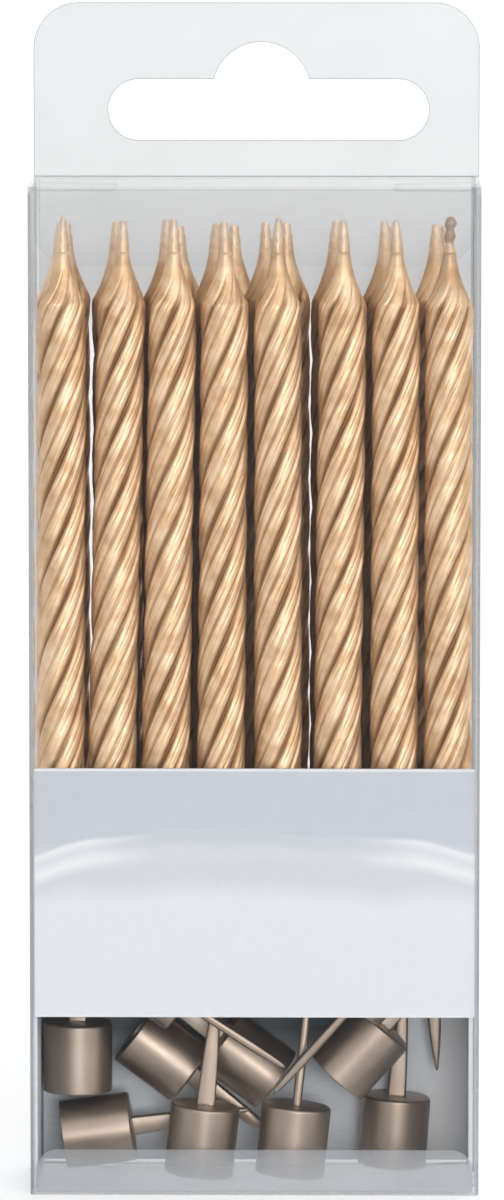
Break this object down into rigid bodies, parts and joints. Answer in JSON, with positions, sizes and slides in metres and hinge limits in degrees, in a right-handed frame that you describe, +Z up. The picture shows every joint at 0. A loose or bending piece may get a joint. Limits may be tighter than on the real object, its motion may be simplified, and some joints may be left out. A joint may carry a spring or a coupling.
{
  "type": "pack of spiral birthday candles",
  "caption": "Clear hanging box of twisted metallic-gold birthday candles standing in rows over loose cup-and-spike holders, with a blank label band and a hinged tuck lid.",
  "frame": {"origin": "centre of the pack's footprint, on the surface that it stands on", "axes": "+Z up along the candles to the hang tab, +Y to the back, so the front faces -Y; +X to the right as seen from the front"},
  "size_m": [0.0444, 0.017, 0.1173],
  "materials": {
    "gold_wax": "pearly gold-coated wax",
    "dipped_wick": "cotton dipped in gold wax",
    "bronze_plastic": "metallic bronze-gold moulding",
    "clear_film": "clear folded sheet",
    "tab_film": "clear folded sheet, doubled",
    "label_card": "satin coated white card",
    "plain_card": "matt white card"
  },
  "bodies": {
    "pack": {"front_panel": "clear_film", "back_panel": "clear_film", "left_panel": "clear_film", "right_panel": "clear_film", "seam_flap": "clear_film", "hang_tab_ply": "tab_film", "left_dust_flap": "clear_film", "right_dust_flap": "clear_film", "bottom_panel": "clear_film", "bottom_tuck_flap": "clear_film", "bottom_left_flap": "clear_film", "bottom_right_flap": "clear_film", "label_card": "label_card", "shelf_card": "plain_card", "wax_front_1": "gold_wax", "wax_front_2": "gold_wax", "wax_front_3": "gold_wax", "wax_front_4": "gold_wax", "wax_front_5": "gold_wax", "wax_front_6": "gold_wax", "wax_front_7": "gold_wax", "wax_front_8": "gold_wax", "wax_middle_1": "gold_wax", "wax_middle_2": "gold_wax", "wax_middle_3": "gold_wax", "wax_middle_4": "gold_wax", "wax_middle_5": "gold_wax", "wax_middle_6": "gold_wax", "wax_middle_7": "gold_wax", "wax_middle_8": "gold_wax", "wax_back_1": "gold_wax", "wax_back_2": "gold_wax", "wax_back_3": "gold_wax", "wax_back_4": "gold_wax", "wax_back_5": "gold_wax", "wax_back_6": "gold_wax", "wax_back_7": "gold_wax", "wax_back_8": "gold_wax", "wicks_front": "dipped_wick", "wicks_middle": "dipped_wick", "wicks_back": "dipped_wick", "holder_1": "bronze_plastic", "holder_2": "bronze_plastic", "holder_3": "bronze_plastic", "holder_4": "bronze_plastic", "holder_5": "bronze_plastic", "holder_6": "bronze_plastic", "holder_7": "bronze_plastic", "holder_8": "bronze_plastic", "holder_9": "bronze_plastic", "holder_10": "bronze_plastic", "holder_11": "bronze_plastic", "holder_12": "bronze_plastic"},
    "lid": {"lid_panel": "clear_film"},
    "tuck": {"tuck_flap": "clear_film"}
  },
  "joints": [
    {"name": "lid_hinge", "type": "hinge", "parent": "pack", "child": "lid", "pos_m": [0, 0.0079, 0.1], "axis": [-1, 0, 0], "range_deg": [0, 85]},
    {"name": "tuck_crease", "type": "hinge", "parent": "lid", "child": "tuck", "pos_m": [0, -0.0078, 0.0997], "axis": [-1, 0, 0], "range_deg": [-85, 0]}
  ],
  "couplings": [
    {"joint": "tuck_crease", "follows": "lid_hinge", "ratio": -1}
  ]
}
